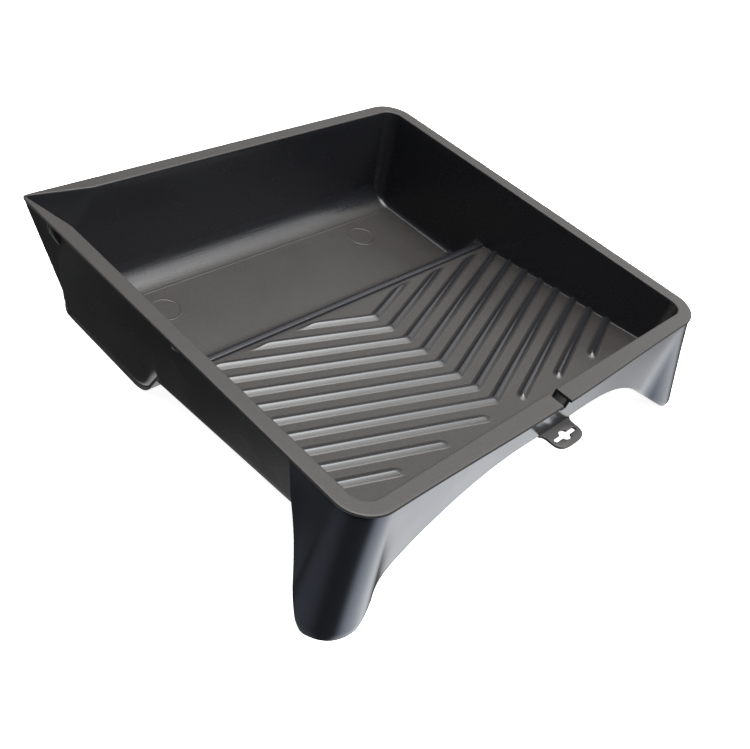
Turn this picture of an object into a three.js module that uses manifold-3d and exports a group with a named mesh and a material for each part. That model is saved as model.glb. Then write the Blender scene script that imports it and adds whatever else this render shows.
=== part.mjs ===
// Paint roller tray: a deep well, a ribbed ramp, a flat rim with a pouring spout, a skirt with
// two spread feet and a hanging tab. One black moulding, built as its named regions.
// Millimetres, +Z up. X runs across the tray, -Y is the ramp and tab end, +Y is the well end.
import * as THREE from 'three';
import Module from 'manifold-3d';
import { mergeVertices } from 'three/addons/utils/BufferGeometryUtils.js';
import { ConvexGeometry } from 'three/addons/geometries/ConvexGeometry.js';

// ---------------------------------------------------------------- driving dimensions
const RIM_WIDTH = 320;
const RIM_LENGTH = 301;
const HEIGHT = 76.5;
const WALL = 2;
const GAP = 0.3;

const RIM_THICK = 2;
const RIM_BAND = 9.8;
const RIM_CORNER_R = 20.8;
const SPOUT_CORNER_R = 4;
const INNER_CORNER_R = 11;
const FRONT_BOW = 2.2;
const NOTCH_WIDTH = 8.3;
const NOTCH_FOOT_WIDTH = 4.9;
const NOTCH_DEPTH = 6;

const SIDE_DRAFT = 0.0726;
const BACK_SLOPE = 0.14;
const FRONT_DRAFT = 0.07;
const COVE_R = 19;
const COVE_LINE_Y = 113.8;
const STEP_R = 16.7;
const STEP_LINE_Y = 46.7;
const STEP_LEAN = THREE.MathUtils.degToRad(29);
const FLOOR_FILLET = 4;

const RAMP_SLOPE = 0.0972;
const RAMP_LEVEL = 26.4;
const RIDGE_TOP = 26.8;
const RIDGE_Y = 19.4;
const RIDGE_R = 6.3;

const RIB_AXIS_X = 6.3;
const RIB_RAKE = 0.385;
const RIB_PITCH = 14.83;
const RIB_FIRST_Y = -2.5;
const RIB_HEIGHT = 2.3;
const RIB_BASE = 8.4;
const RIB_TOP = 1.6;
const RIB_COUNT = 8;
const SHORT_RIB_COUNT = 3;
const SHORT_RIB_START = 15.2;
const SHORT_RIB_STEP = 38.2;
const RIB_BACK_LIMIT_Y = 14;

const SKIRT_RECESS = 1.2;
const FLARE = 0.28;
const FLARE_PEAK = THREE.MathUtils.degToRad(32);
const FLARE_FRONT_SPREAD = 18.5;
const FLARE_SIDE_SPREAD = 32;
const LEG_BACK_Y = -97;
const LEG_SPLIT_X = 112;
const ARCH_DEPTH = 19.3;

const TAB_TOP_Z = 57.2;
const TAB_THICK = 1.8;
const TAB_WIDTH = 25.2;
const TAB_ROOT_WIDTH = 29.6;
const TAB_TIP_Y = -166.5;
const TAB_CORNER_R = 6;
const TAB_HOLE_Y = -159;
const TAB_HOLE_R = 3.7;
const TAB_SLOT_LENGTH = 20;
const TAB_SLOT_WIDTH = 2.6;

const SPOUT_LEFT_Y = 110.7;
const SPOUT_BACK_X = -117;
const SPOUT_TIP = [-158.4, 148.9];
const SPOUT_FOOT = [-145, 130, 13.5];

const CENTRE_SHIFT_Y = 8;

const RIM_X = RIM_WIDTH / 2;
const RIM_Y = RIM_LENGTH / 2;
const CORNER_X = RIM_X - RIM_CORNER_R;
const CORNER_Y = RIM_Y - RIM_CORNER_R;
const UNDER_RIM = HEIGHT - RIM_THICK;

const wasm = await Module();
wasm.setup();

const plastic = { color: 0x1b1b1d, roughness: 0.35, metalness: 0 };
const tray = new THREE.Group();
tray.name = 'paint_roller_tray';

// ---------------------------------------------------------------- solids
function solidOf(geometry) {
  const bare = geometry.clone();
  bare.deleteAttribute('normal');
  bare.deleteAttribute('uv');
  const merged = mergeVertices(bare, 1e-4);
  return new wasm.Manifold(
    new wasm.Mesh({
      numProp: 3,
      vertProperties: Float32Array.from(merged.attributes.position.array),
      triVerts: Uint32Array.from(merged.index.array),
    }),
  );
}

function addPart(name, solid) {
  const found = solid.getMesh();
  const geometry = new THREE.BufferGeometry();
  geometry.setAttribute('position', new THREE.BufferAttribute(new Float32Array(found.vertProperties), 3));
  geometry.setIndex(new THREE.BufferAttribute(new Uint32Array(found.triVerts), 1));
  geometry.computeVertexNormals();
  const mesh = new THREE.Mesh(geometry, new THREE.MeshStandardMaterial(plastic));
  mesh.name = name;
  tray.add(mesh);
}

function block(x0, x1, y0, y1, z0, z1) {
  const box = new THREE.BoxGeometry(x1 - x0, y1 - y0, z1 - z0);
  box.translate((x0 + x1) / 2, (y0 + y1) / 2, (z0 + z1) / 2);
  return solidOf(box);
}

function shapeOf(points) {
  return new THREE.Shape(points.map(([x, y]) => new THREE.Vector2(x, y)));
}

// A plan shape raised from z0 to z1.
function slab(shape, z0, z1, curveSegments = 8) {
  const raised = new THREE.ExtrudeGeometry(shape, { depth: z1 - z0, bevelEnabled: false, curveSegments });
  raised.translate(0, 0, z0);
  return solidOf(raised);
}

// A plan shape raised through the given levels; place() says where each outline point goes at a level.
function loft(shape, levels, place, curveSegments = 6) {
  const steps = levels.length - 1;
  const raised = new THREE.ExtrudeGeometry(shape, { depth: steps, steps, bevelEnabled: false, curveSegments });
  const points = raised.attributes.position;
  for (let i = 0; i < points.count; i += 1) {
    const z = levels[Math.round(points.getZ(i))];
    const [x, y] = place(points.getX(i), points.getY(i), z);
    points.setXYZ(i, x, y, z);
  }
  return solidOf(raised);
}

// A side profile drawn in (Y, Z), run across the tray from x0 to x1.
function acrossX(shape, x0, x1, steps = 1) {
  const run = new THREE.ExtrudeGeometry(shape, { depth: x1 - x0, steps, bevelEnabled: false, curveSegments: 8 });
  const toX = new THREE.Matrix4().makeBasis(
    new THREE.Vector3(0, 1, 0),
    new THREE.Vector3(0, 0, 1),
    new THREE.Vector3(1, 0, 0),
  );
  run.applyMatrix4(toX);
  run.translate(x0, 0, 0);
  return run;
}

// A front profile drawn in (X, Z), run back from y0 to y1.
function alongY(shape, y0, y1) {
  const run = new THREE.ExtrudeGeometry(shape, { depth: y1 - y0, bevelEnabled: false, curveSegments: 10 });
  run.rotateX(Math.PI / 2);
  run.translate(0, y1, 0);
  return run;
}

// ---------------------------------------------------------------- rim outline
// The front edge of the rim bows gently outwards between the corners.
function frontBow(x) {
  return Math.abs(x) < CORNER_X ? (FRONT_BOW * (1 + Math.cos((Math.PI * x) / CORNER_X))) / 2 : 0;
}

function rimOutline() {
  const shape = new THREE.Shape();
  const steps = 16;
  shape.moveTo(-CORNER_X, -RIM_Y);
  for (let i = 1; i <= steps; i += 1) {
    const x = -CORNER_X + (2 * CORNER_X * i) / steps;
    shape.lineTo(x, -RIM_Y - frontBow(x));
  }
  shape.absarc(CORNER_X, -CORNER_Y, RIM_CORNER_R, -Math.PI / 2, 0);
  shape.lineTo(RIM_X, CORNER_Y);
  shape.absarc(CORNER_X, CORNER_Y, RIM_CORNER_R, 0, Math.PI / 2);
  shape.lineTo(-RIM_X + SPOUT_CORNER_R, RIM_Y);
  shape.absarc(-RIM_X + SPOUT_CORNER_R, RIM_Y - SPOUT_CORNER_R, SPOUT_CORNER_R, Math.PI / 2, Math.PI);
  shape.lineTo(-RIM_X, -CORNER_Y);
  shape.absarc(-CORNER_X, -CORNER_Y, RIM_CORNER_R, Math.PI, 1.5 * Math.PI);
  return shape;
}

// ---------------------------------------------------------------- basin
// The rounded opening of the tray at rim height, drawn `grow` larger all round.
function openingOutline(grow) {
  const halfX = RIM_X - RIM_BAND + grow;
  const halfY = RIM_Y - RIM_BAND + grow;
  const radius = INNER_CORNER_R + grow;
  const shape = new THREE.Shape();
  shape.absarc(halfX - radius, halfY - radius, radius, 0, Math.PI / 2);
  shape.absarc(-halfX + radius, halfY - radius, radius, Math.PI / 2, Math.PI);
  shape.absarc(-halfX + radius, -halfY + radius, radius, Math.PI, 1.5 * Math.PI);
  shape.absarc(halfX - radius, -halfY + radius, radius, 1.5 * Math.PI, 2 * Math.PI);
  shape.closePath();
  return shape;
}

// How far the rounded bottom edge of a side wall comes in at height z above its floor.
function filletInset(z, radius) {
  const up = Math.min(Math.max(z, 0), radius);
  return radius - Math.sqrt(radius * radius - (radius - up) ** 2);
}

// The inside of the tray as a tapering block, `grow` larger all round (0 gives the inner faces).
function taperedBlock(grow, floorZ, top) {
  const halfX = RIM_X - RIM_BAND + grow;
  const halfY = RIM_Y - RIM_BAND + grow;
  const radius = FLOOR_FILLET + grow;
  const levels = [floorZ, floorZ + 0.15 * radius, floorZ + 0.45 * radius, floorZ + radius, HEIGHT, top];
  return loft(openingOutline(grow), levels, (x, y, z) => {
    const depth = HEIGHT - z;
    const inset = filletInset(z - floorZ, radius);
    const side = (halfX - SIDE_DRAFT * depth - inset) / halfX;
    const back = halfY - BACK_SLOPE * depth;
    const front = -halfY + FRONT_DRAFT * depth;
    return [x * side, front + ((y + halfY) / (2 * halfY)) * (back - front)];
  });
}

// The side profile under which the tray is solid: cove, floor, step wall and ramp.
function sideProfile(grow) {
  const floorZ = WALL - grow;
  const cove = COVE_R + grow;
  const step = STEP_R + grow;
  const stepZ = floorZ + step;
  const shape = new THREE.Shape();
  shape.moveTo(200, HEIGHT + 20);
  shape.lineTo(200, floorZ + cove);
  shape.lineTo(COVE_LINE_Y + cove, floorZ + cove);
  shape.absarc(COVE_LINE_Y, floorZ + cove, cove, 0, -Math.PI / 2, true);
  shape.lineTo(STEP_LINE_Y, floorZ);
  shape.absarc(STEP_LINE_Y, stepZ, step, -Math.PI / 2, -Math.PI + STEP_LEAN, true);
  return { shape, tangent: [STEP_LINE_Y - step * Math.cos(STEP_LEAN), stepZ - step * Math.sin(STEP_LEAN)] };
}

function rampZ(y) {
  return RAMP_LEVEL - RAMP_SLOPE * y;
}

function innerProfile() {
  const { shape } = sideProfile(0);
  shape.absarc(RIDGE_Y, RIDGE_TOP - RIDGE_R, RIDGE_R, STEP_LEAN, Math.PI / 2);
  shape.lineTo(RIDGE_Y - 0.7, RIDGE_TOP);
  shape.lineTo(RIDGE_Y - 1.3, RIDGE_TOP - 0.4);
  shape.lineTo(RIDGE_Y - 1.8, rampZ(RIDGE_Y - 1.8));
  shape.lineTo(-200, rampZ(-200));
  shape.lineTo(-200, HEIGHT + 20);
  return shape;
}

function outerProfile() {
  const { shape, tangent } = sideProfile(WALL);
  const under = RAMP_LEVEL - WALL;
  const lean = Math.tan(STEP_LEAN);
  const rise = (under - RAMP_SLOPE * tangent[0] - tangent[1]) / (1 - RAMP_SLOPE * lean);
  const kneeY = tangent[0] - rise * lean;
  shape.lineTo(kneeY, under - RAMP_SLOPE * kneeY);
  shape.lineTo(-200, under + RAMP_SLOPE * 200);
  shape.lineTo(-200, HEIGHT + 20);
  return shape;
}

// The pouring spout: a wedge that leaves the corner of the well and runs out to the rim corner.
function spoutPoints(grow, topZ) {
  const over = Math.max(0, grow - WALL);
  const left = [-RIM_X + RIM_BAND - grow, SPOUT_LEFT_Y - over, topZ];
  const back = [SPOUT_BACK_X + over, RIM_Y - RIM_BAND + grow, topZ];
  const tip = [SPOUT_TIP[0] - grow * 0.6, SPOUT_TIP[1] + grow * 0.6, topZ];
  const foot = [SPOUT_FOOT[0] - grow * 0.8, SPOUT_FOOT[1] + grow * 0.8, SPOUT_FOOT[2] - grow * 0.5];
  return { left, back, tip, foot };
}

function convex(points) {
  return solidOf(new ConvexGeometry(points.map((p) => new THREE.Vector3(...p))));
}

function spoutWedge(grow) {
  const { left, back, tip, foot } = spoutPoints(grow, HEIGHT + 1);
  return convex([left, back, tip, foot, [-130, 112, HEIGHT + 1], [-130, 116, SPOUT_FOOT[2]]]);
}

// The notch at the middle of the front: straight through the rim, narrowing below it.
function notchProfile() {
  const top = NOTCH_WIDTH / 2;
  const foot = NOTCH_FOOT_WIDTH / 2;
  const footZ = HEIGHT - NOTCH_DEPTH;
  return shapeOf([[-foot, footZ], [foot, footZ], [top, UNDER_RIM], [top, 200], [-top, 200], [-top, UNDER_RIM]]);
}

const cavity = taperedBlock(0, WALL, HEIGHT + 10)
  .intersect(solidOf(acrossX(innerProfile(), -200, 200)))
  .add(spoutWedge(0));
const basin = taperedBlock(WALL, 0, HEIGHT + 10)
  .intersect(solidOf(acrossX(outerProfile(), -200, 200)))
  .subtract(cavity)
  .intersect(block(-200, 200, -200, 200, -1, UNDER_RIM));
const notch = solidOf(alongY(notchProfile(), -200, -RIM_Y + RIM_BAND + 5));
const shell = basin.subtract(spoutWedge(WALL + GAP)).subtract(notch);

const SIDE_SPLIT_X = 141;
const CORNER_SPLIT_X = 134;
const FRONT_CORNER_Y = -129;
const FRONT_SPLIT_Y = -136.5;
const STEP_SPLIT_Y = 17;

function region(x0, x1, y0, y1) {
  return shell.intersect(block(x0, x1, y0, y1, -5, HEIGHT + 5));
}

function addBasin() {
  addPart('well_floor', region(-SIDE_SPLIT_X, SIDE_SPLIT_X, STEP_LINE_Y, COVE_LINE_Y));
  addPart('back_wall', region(-CORNER_SPLIT_X, CORNER_SPLIT_X, COVE_LINE_Y, 200));
  addPart('back_corner_left', region(-200, -CORNER_SPLIT_X, COVE_LINE_Y, 200));
  addPart('back_corner_right', region(CORNER_SPLIT_X, 200, COVE_LINE_Y, 200));
  addPart('left_wall', region(-200, -SIDE_SPLIT_X, FRONT_CORNER_Y, COVE_LINE_Y));
  addPart('right_wall', region(SIDE_SPLIT_X, 200, FRONT_CORNER_Y, COVE_LINE_Y));
  addPart('step_wall', region(-SIDE_SPLIT_X, SIDE_SPLIT_X, STEP_SPLIT_Y, STEP_LINE_Y));
  const deck = region(-SIDE_SPLIT_X, SIDE_SPLIT_X, FRONT_CORNER_Y, STEP_SPLIT_Y);
  const deckFront = region(-CORNER_SPLIT_X, CORNER_SPLIT_X, FRONT_SPLIT_Y, FRONT_CORNER_Y);
  addPart('ramp_deck', deck.add(deckFront));
  addPart('front_wall', region(-CORNER_SPLIT_X, CORNER_SPLIT_X, -200, FRONT_SPLIT_Y));
  addPart('front_corner_left', region(-200, -CORNER_SPLIT_X, -200, FRONT_CORNER_Y));
  addPart('front_corner_right', region(CORNER_SPLIT_X, 200, -200, FRONT_CORNER_Y));
}

// The room on one side of the upright plane through the tip and foot of the spout.
function spoutSide(corner) {
  const [tipX, tipY] = SPOUT_TIP;
  const dx = tipX - SPOUT_FOOT[0];
  const dy = tipY - SPOUT_FOOT[1];
  const far = [tipX + dx, tipY + dy];
  const near = [tipX - 2 * dx, tipY - 2 * dy];
  const left = [[near[0], SPOUT_LEFT_Y], [far[0], SPOUT_LEFT_Y]];
  const back = [[SPOUT_BACK_X, near[1]], [SPOUT_BACK_X, far[1]]];
  const outline = corner === 'left' ? [near, far, left[1], left[0]] : [near, far, back[1], back[0]];
  return slab(shapeOf(outline), 0, 200);
}

// One thin triangular wall of the spout, from the rim down to the foot of the wedge.
function addSpoutFacet(name, corner) {
  const inner = spoutPoints(0, HEIGHT);
  const outer = spoutPoints(WALL, HEIGHT);
  const facet = convex([inner[corner], inner.tip, inner.foot, outer[corner], outer.tip, outer.foot]);
  const below = block(-200, 200, -200, 200, -1, UNDER_RIM);
  addPart(name, facet.intersect(spoutWedge(WALL)).subtract(cavity).intersect(below).intersect(spoutSide(corner)));
}

// ---------------------------------------------------------------- rim
function addRim() {
  const rim = slab(rimOutline(), UNDER_RIM, HEIGHT).subtract(cavity).subtract(notch);
  const length = (name, x0, x1, y0, y1) => {
    addPart(name, rim.intersect(block(x0, x1, y0, y1, 0, 200)));
  };
  length('rim_back', SPOUT_BACK_X, CORNER_X, 0, 200);
  length('rim_back_right_corner', CORNER_X, 200, CORNER_Y, 200);
  length('rim_right', CORNER_X, 200, -CORNER_Y, CORNER_Y);
  length('rim_front_right_corner', CORNER_X, 200, -200, -CORNER_Y);
  length('rim_front_right', 0, CORNER_X, -200, -CORNER_Y);
  length('rim_front_left', -CORNER_X, 0, -200, -CORNER_Y);
  length('rim_front_left_corner', -200, -CORNER_X, -200, -CORNER_Y);
  length('rim_left', -200, -CORNER_X, -CORNER_Y, SPOUT_LEFT_Y);
  addPart('spout_lip_back', rim.intersect(spoutSide('back')));
  addPart('spout_lip_left', rim.intersect(spoutSide('left')));
}

// ---------------------------------------------------------------- ribs on the ramp
function ribProfile() {
  const base = RIB_BASE / 2;
  const top = RIB_TOP / 2;
  return shapeOf([[-base, 0], [base, 0], [top, RIB_HEIGHT], [-top, RIB_HEIGHT]]);
}

// A straight bar across the tray, folded into a V about the rib axis and laid on the ramp.
function foldedBar(index) {
  const reach = 160;
  const bar = acrossX(ribProfile(), RIB_AXIS_X - reach, RIB_AXIS_X + reach, 2);
  const crestY = RIB_FIRST_Y - RIB_PITCH * index;
  const points = bar.attributes.position;
  for (let i = 0; i < points.count; i += 1) {
    const y = crestY + points.getY(i) + RIB_RAKE * Math.abs(points.getX(i) - RIB_AXIS_X);
    points.setY(i, y);
    points.setZ(i, rampZ(y) + GAP / 3 + points.getZ(i));
  }
  return solidOf(bar);
}

function ribRoom() {
  return taperedBlock(-GAP, WALL, HEIGHT + 10).intersect(block(-200, 200, -200, RIB_BACK_LIMIT_Y, 0, 200));
}

function addChevronRibs(room) {
  for (let index = 0; index < RIB_COUNT; index += 1) {
    addPart(`chevron_rib_${index + 1}`, foldedBar(index).intersect(room));
  }
}

// A short rib starts with a rounded end beside the rib axis and runs out to the side wall.
function shortRibRoom(start, side) {
  const radius = RIB_BASE / 2;
  const near = start + radius;
  const shape = new THREE.Shape();
  shape.moveTo(near, radius);
  shape.absarc(near, 0, radius, Math.PI / 2, 1.5 * Math.PI);
  shape.lineTo(200, -radius);
  shape.lineTo(200, radius);
  shape.closePath();
  const raised = new THREE.ExtrudeGeometry(shape, { depth: 200, bevelEnabled: false, curveSegments: 8 });
  const points = raised.attributes.position;
  for (let i = 0; i < points.count; i += 1) {
    points.setY(i, points.getY(i) * 1.02 + RIB_RAKE * points.getX(i));
  }
  const room = solidOf(raised);
  return side > 0 ? room : room.mirror([1, 0, 0]);
}

function addShortRibs(room) {
  for (let order = 0; order < SHORT_RIB_COUNT; order += 1) {
    const index = RIB_COUNT + order;
    const bar = foldedBar(index).intersect(room);
    const crestY = RIB_FIRST_Y - RIB_PITCH * index;
    for (const [side, word] of [[-1, 'left'], [1, 'right']]) {
      const start = SHORT_RIB_START + SHORT_RIB_STEP * order;
      const end = shortRibRoom(start, side).translate([RIB_AXIS_X, crestY, 0]);
      addPart(`short_rib_${word}_${order + 1}`, bar.intersect(end));
    }
  }
}

// ---------------------------------------------------------------- skirt and legs
// Where the skirt runs: s is the distance along it from the side tangent of the front corner.
function skirtPoint(s, inset) {
  const radius = RIM_CORNER_R - SKIRT_RECESS;
  const arc = (radius * Math.PI) / 2;
  if (s < 0) {
    return [-CORNER_X - radius + inset, -CORNER_Y - s];
  }
  if (s < arc) {
    const turn = s / radius;
    return [-CORNER_X - (radius - inset) * Math.cos(turn), -CORNER_Y - (radius - inset) * Math.sin(turn)];
  }
  const x = -CORNER_X + s - arc;
  return [x, -CORNER_Y - radius + inset - frontBow(x)];
}

// How far the skirt leans out for each millimetre of drop, and which way, at a plan point.
function skirtLean(x, y) {
  const radius = RIM_CORNER_R - SKIRT_RECESS;
  const beyondX = -CORNER_X - x;
  const beyondY = -CORNER_Y - y;
  const turn = Math.min(Math.max(Math.atan2(beyondY, beyondX), 0), Math.PI / 2);
  const side = beyondX > 0 && beyondY < 0 ? beyondY : 0;
  const front = beyondX < 0 ? -beyondX : 0;
  const along = radius * (turn - FLARE_PEAK) + side + front;
  const spread = along < 0 ? FLARE_SIDE_SPREAD : FLARE_FRONT_SPREAD;
  const lean = FLARE * Math.exp(-((along / spread) ** 2));
  return [-Math.cos(turn) * lean, -Math.sin(turn) * lean];
}

function skirtStrip(stations) {
  const outer = stations.map((s) => skirtPoint(s, 0));
  const inner = stations.map((s) => skirtPoint(s, WALL)).reverse();
  return shapeOf([...outer, ...inner]);
}

// The curve of the open arch between the feet.
function archCutter() {
  const shape = new THREE.Shape();
  const top = HEIGHT - ARCH_DEPTH;
  shape.moveTo(-153, -5);
  shape.lineTo(-153, 0);
  shape.bezierCurveTo(-134, 10.5, -113, 27, -106, 31.5);
  shape.bezierCurveTo(-85, 44.5, -62, top - 0.2, -28, top);
  shape.lineTo(28, top);
  shape.bezierCurveTo(62, top - 0.2, 85, 44.5, 106, 31.5);
  shape.bezierCurveTo(113, 27, 134, 10.5, 153, 0);
  shape.lineTo(153, -5);
  shape.closePath();
  return solidOf(alongY(shape, -200, -141.5));
}

// The back edge of a leg: upright under the rim, then sloping forward down to the foot.
function legBackCutter() {
  const shape = new THREE.Shape();
  shape.moveTo(0, HEIGHT + 5);
  shape.lineTo(LEG_BACK_Y, HEIGHT + 5);
  shape.lineTo(LEG_BACK_Y, HEIGHT - 3);
  shape.bezierCurveTo(-101, 62, -103, 56, -106, 51.5);
  shape.bezierCurveTo(-112, 42, -125, 25, -137, 7.5);
  shape.quadraticCurveTo(-141, 2, -147, -1);
  shape.lineTo(0, -1);
  shape.closePath();
  return solidOf(acrossX(shape, -200, -154));
}

function leg() {
  const radius = RIM_CORNER_R - SKIRT_RECESS;
  const arc = (radius * Math.PI) / 2;
  const stations = [];
  for (let s = -CORNER_Y - LEG_BACK_Y; s < -1; s += 6.5) {
    stations.push(s);
  }
  for (let i = 0; i < 10; i += 1) {
    stations.push((arc * i) / 10);
  }
  for (let i = 0; i <= 5; i += 1) {
    stations.push(arc + ((CORNER_X - LEG_SPLIT_X) * i) / 5);
  }
  const strip = loft(skirtStrip(stations), [0, 12, 26, 40, 58, UNDER_RIM], (x, y, z) => {
    const [dx, dy] = skirtLean(x, y);
    return [x + dx * (HEIGHT - z), y + dy * (HEIGHT - z)];
  });
  return strip
    .subtract(archCutter())
    .subtract(legBackCutter())
    .intersect(block(-200, -LEG_SPLIT_X, -200, 0, 0, UNDER_RIM));
}

function apron() {
  const steps = 12;
  const half = LEG_SPLIT_X;
  const outer = [];
  const inner = [];
  for (let i = 0; i <= steps; i += 1) {
    const x = -half + (2 * half * i) / steps;
    outer.push([x, -RIM_Y + SKIRT_RECESS - frontBow(x)]);
    inner.push([x, -RIM_Y + SKIRT_RECESS + WALL - frontBow(x)]);
  }
  return slab(shapeOf([...outer, ...inner.reverse()]), 0, UNDER_RIM).subtract(archCutter()).subtract(notch);
}

// ---------------------------------------------------------------- hanging tab
function tabHole() {
  const hole = new THREE.Path();
  const half = TAB_SLOT_LENGTH / 2;
  const r = TAB_SLOT_WIDTH / 2;
  const bite = Math.asin(r / TAB_HOLE_R);
  const reach = TAB_HOLE_R * Math.cos(bite);
  hole.moveTo(-half + r, TAB_HOLE_Y - r);
  hole.lineTo(-reach, TAB_HOLE_Y - r);
  hole.absarc(0, TAB_HOLE_Y, TAB_HOLE_R, Math.PI + bite, 2 * Math.PI - bite);
  hole.lineTo(half - r, TAB_HOLE_Y - r);
  hole.absarc(half - r, TAB_HOLE_Y, r, -Math.PI / 2, Math.PI / 2);
  hole.lineTo(reach, TAB_HOLE_Y + r);
  hole.absarc(0, TAB_HOLE_Y, TAB_HOLE_R, bite, Math.PI - bite);
  hole.lineTo(-half + r, TAB_HOLE_Y + r);
  hole.absarc(-half + r, TAB_HOLE_Y, r, Math.PI / 2, 1.5 * Math.PI);
  return hole;
}

function addHangTab(front) {
  const shape = new THREE.Shape();
  const half = TAB_WIDTH / 2;
  const root = TAB_ROOT_WIDTH / 2;
  shape.moveTo(root, -148);
  shape.lineTo(-root, -148);
  shape.lineTo(-root, -151.4);
  shape.quadraticCurveTo(-half, -152, -half, -155.2);
  shape.lineTo(-half, TAB_TIP_Y + TAB_CORNER_R);
  shape.absarc(-half + TAB_CORNER_R, TAB_TIP_Y + TAB_CORNER_R, TAB_CORNER_R, Math.PI, 1.5 * Math.PI);
  shape.absarc(half - TAB_CORNER_R, TAB_TIP_Y + TAB_CORNER_R, TAB_CORNER_R, 1.5 * Math.PI, 2 * Math.PI);
  shape.lineTo(half, -155.2);
  shape.quadraticCurveTo(half, -152, root, -151.4);
  shape.closePath();
  shape.holes.push(tabHole());
  const tab = slab(shape, TAB_TOP_Z - TAB_THICK, TAB_TOP_Z, 10);
  addPart('hang_tab', tab.subtract(front).subtract(block(-50, 50, -149.5, -100, 0, 200)));
}

// ---------------------------------------------------------------- gussets under the rim
function addGusset(name, y, side, drop) {
  const depth = HEIGHT - UNDER_RIM;
  const wallTop = RIM_X - RIM_BAND + WALL + GAP - SIDE_DRAFT * depth;
  const wallFoot = wallTop - SIDE_DRAFT * (drop - depth) + 0.2;
  const lip = RIM_X - SKIRT_RECESS;
  const foot = HEIGHT - drop;
  const profile = [[wallTop, UNDER_RIM], [wallFoot, foot], [wallFoot + 2.5, foot]];
  profile.push([lip, UNDER_RIM - drop * 0.35], [lip, UNDER_RIM]);
  const web = solidOf(alongY(shapeOf(profile), y - WALL / 2, y + WALL / 2));
  addPart(name, (side > 0 ? web : web.mirror([1, 0, 0])).subtract(spoutWedge(WALL + GAP)));
}

// ---------------------------------------------------------------- assembly
addBasin();
addSpoutFacet('spout_facet_left', 'left');
addSpoutFacet('spout_facet_back', 'back');
addRim();

const room = ribRoom();
addChevronRibs(room);
addShortRibs(room);

const leftLeg = leg();
const frontApron = apron();
addPart('left_leg', leftLeg);
addPart('right_leg', leftLeg.mirror([1, 0, 0]));
addPart('front_apron', frontApron);
addHangTab(frontApron);

addGusset('gusset_left_back', 122.5, -1, 20);
addGusset('gusset_left_front', 0, -1, 12);
addGusset('gusset_right_back', 122.5, 1, 20);
addGusset('gusset_right_front', 0, 1, 12);

tray.position.y = CENTRE_SHIFT_Y;
export default tray;
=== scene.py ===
"""Paint roller tray: one black moulding with a deep well, a ribbed ramp, a rim, a skirt and two feet.

Lengths below are millimetres in the tray's own frame: X across, +Y towards the well, Z up from the
plane it stands on. put() turns them into metres in the frame of the CAD.
"""

import math

import bmesh
import bpy
from mathutils import Matrix, Vector


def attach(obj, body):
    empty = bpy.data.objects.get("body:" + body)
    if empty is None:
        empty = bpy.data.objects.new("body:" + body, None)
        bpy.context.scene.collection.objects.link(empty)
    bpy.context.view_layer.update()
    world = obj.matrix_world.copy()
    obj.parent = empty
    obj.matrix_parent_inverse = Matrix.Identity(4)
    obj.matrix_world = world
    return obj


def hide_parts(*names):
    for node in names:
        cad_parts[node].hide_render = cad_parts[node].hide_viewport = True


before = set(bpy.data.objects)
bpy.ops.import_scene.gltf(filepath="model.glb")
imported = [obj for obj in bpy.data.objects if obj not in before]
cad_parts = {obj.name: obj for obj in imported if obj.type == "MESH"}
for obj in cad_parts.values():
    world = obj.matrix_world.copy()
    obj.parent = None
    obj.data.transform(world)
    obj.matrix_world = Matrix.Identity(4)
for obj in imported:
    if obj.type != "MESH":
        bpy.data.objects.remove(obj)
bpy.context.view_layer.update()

# ------------------------------------------------------------------ dimensions of the moulding
HEIGHT = 76.5
RIM_X, RIM_Y = 160.0, 150.5  # half of the rim's width and length
RIM_BAND = 9.8
RIM_CORNER_R = 20.8
RIM_THICK = 1.9
RIM_EDGE_IN, RIM_EDGE_OUT = 0.8, 0.7  # rounding of the rim's inner and outer edge
CORNER_X, CORNER_Y = RIM_X - RIM_CORNER_R, RIM_Y - RIM_CORNER_R
INNER_X, INNER_Y = RIM_X - RIM_BAND, RIM_Y - RIM_BAND
INNER_R = 11.0
WALL = 2.0
SIDE_DRAFT, BACK_SLOPE, FRONT_DRAFT = 0.0726, 0.14, 0.07  # run for each millimetre of depth
COVE_R, COVE_Y = 19.0, 113.8
STEP_R, STEP_Y = 16.7, 46.7
STEP_LEAN = math.radians(29)
RAMP_LEVEL, RAMP_SLOPE = 26.4, 0.0972
RIDGE_TOP, RIDGE_Y, RIDGE_R = 26.8, 19.4, 6.3  # the bead along the top of the step
RAMP_BACK_Y, RAMP_FRONT_Y = 17.2, -139.0
FRONT_BOW = 2.2
NOTCH, NOTCH_FOOT, NOTCH_Z = 4.15, 2.45, 70.5  # half widths at the top and the foot, floor height
SPOUT_LEFT_Y, SPOUT_BACK_X = 110.7, -117.0
SPOUT_TIP = (-158.4, 148.9)
SPOUT_DEPTH = 69.0
SPOUT_TIP_R = 5.0
CENTRE_SHIFT_Y = 8.0


def put(p):
    """A point in metres, in the frame of the CAD."""
    return Vector((p[0] / 1000, (p[1] + CENTRE_SHIFT_Y) / 1000, p[2] / 1000))


def smooth(a, b, x):
    """0 where x is at a, 1 where it is at b, with an easy start and finish."""
    t = min(max((x - a) / (b - a), 0.0), 1.0)
    return t * t * (3 - 2 * t)


# ------------------------------------------------------------------ mesh helpers
def finish_mesh(name, bm, angle=32):
    """Turns a bmesh in millimetres into an object of the moulding, smooth but for its creases."""
    for v in bm.verts:
        v.co = put(v.co)
    bmesh.ops.recalc_face_normals(bm, faces=bm.faces)
    mesh = bpy.data.meshes.new(name)
    bm.to_mesh(mesh)
    bm.free()
    mesh.polygons.foreach_set("use_smooth", [True] * len(mesh.polygons))
    mesh.set_sharp_from_angle(angle=math.radians(angle))
    obj = bpy.data.objects.new(name, mesh)
    bpy.context.scene.collection.objects.link(obj)
    return obj


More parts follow.
